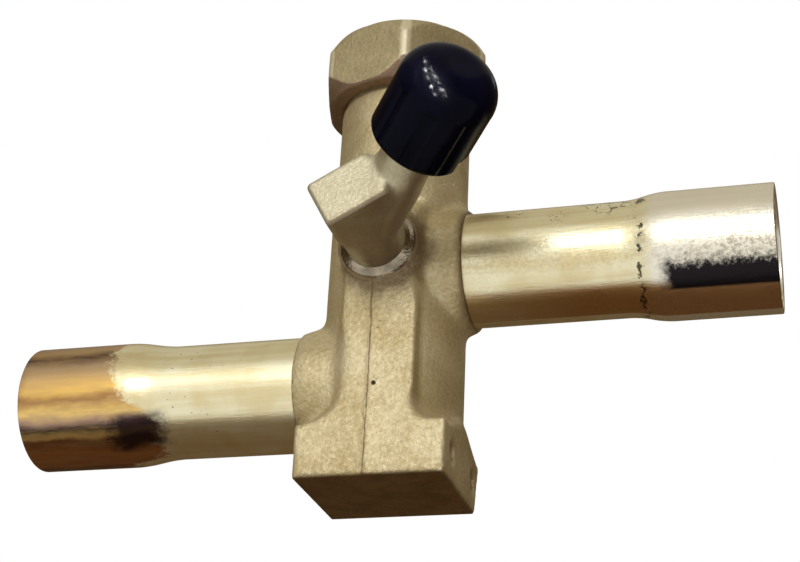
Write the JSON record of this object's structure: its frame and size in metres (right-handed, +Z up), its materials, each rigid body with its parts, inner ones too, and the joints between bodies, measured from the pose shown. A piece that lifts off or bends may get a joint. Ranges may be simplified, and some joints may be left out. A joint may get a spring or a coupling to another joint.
{
  "type": "refrigerant service valve",
  "caption": "Foot-mounted brass refrigerant service valve with offset solder tubes, a capped screw stem and an angled charging port under a plastic cap.",
  "frame": {"origin": "on the underside of the foot, on the stem axis", "axes": "+Z up along the stem, +X towards the upper tube, -Y towards the charging port"},
  "size_m": [0.1455, 0.0731, 0.0958],
  "materials": {
    "forged_brass": "sand-textured forging, matte pale gold",
    "cap_brass": "matte olive-gold forging with turned chamfers",
    "elbow_brass": "fine forged brass, matte",
    "tube_brass": "satin drawn tube with heat tint at its swaged end",
    "filler": "bright silver braze filler",
    "machined_brass": "turned brass",
    "ring_steel": "phosphated spring steel",
    "spring_steel": "bright spring wire",
    "rubber": "black moulded rubber",
    "white_seal": "white fluoroplastic",
    "cap_plastic": "glossy black moulded plastic",
    "washer": "soft copper-coloured fibre washer"
  },
  "bodies": {
    "body": {"valve_body": "forged_brass", "lower_tube": "tube_brass", "upper_tube": "tube_brass", "lower_braze_ring": "filler", "upper_braze_ring": "filler", "stem_retaining_ring": "ring_steel", "access_elbow": "elbow_brass", "access_braze_ring": "filler", "core_plug": "machined_brass", "core_barrel": "machined_brass", "core_barrel_seal": "white_seal", "core_spring": "spring_steel"},
    "stem_seals": {"stem_o_ring": "rubber", "stem_backup_ring": "white_seal"},
    "stem": {"valve_stem": "machined_brass"},
    "cap_seal": {"stem_cap_seal": "washer"},
    "cap": {"stem_cap": "cap_brass"},
    "port_seal": {"access_cap_seal": "rubber"},
    "port_cap": {"access_cap": "cap_plastic"},
    "pin": {"core_pin": "machined_brass", "core_seat_seal": "rubber"}
  },
  "joints": [
    {"name": "stem_lift", "type": "slide", "parent": "body", "child": "stem_seals", "axis": [0, 0, 1], "range_m": [0, 0.01376]},
    {"name": "stem_turn", "type": "hinge", "parent": "stem_seals", "child": "stem", "pos_m": [0, 0, 0.05], "axis": [0, 0, 1], "range_deg": [0, 3303.4]},
    {"name": "cap_lift", "type": "slide", "parent": "body", "child": "cap_seal", "axis": [0, 0, 1], "range_m": [0, 0.016]},
    {"name": "cap_turn", "type": "hinge", "parent": "cap_seal", "child": "cap", "pos_m": [0, 0, 0.09], "axis": [0, 0, 1], "range_deg": [0, 3841]},
    {"name": "port_cap_lift", "type": "slide", "parent": "body", "child": "port_seal", "axis": [0.601, -0.729, 0.3277], "range_m": [0, 0.02]},
    {"name": "port_cap_turn", "type": "hinge", "parent": "port_seal", "child": "port_cap", "pos_m": [0.01803, -0.04387, 0.05553], "axis": [0.601, -0.729, 0.3277], "range_deg": [0, 5670.5]},
    {"name": "core_press", "type": "slide", "parent": "body", "child": "pin", "axis": [-0.601, 0.729, -0.3277], "range_m": [0, 0.0012], "stiffness_N_per_m": 2500, "springref_m": -0.001, "deforming": ["core_spring"]}
  ],
  "couplings": [
    {"joint": "stem_turn", "follows": "stem_lift", "rad_per_m": 4188.8},
    {"joint": "cap_turn", "follows": "cap_lift", "rad_per_m": 4188.8},
    {"joint": "port_cap_turn", "follows": "port_cap_lift", "rad_per_m": 4947.4}
  ]
}
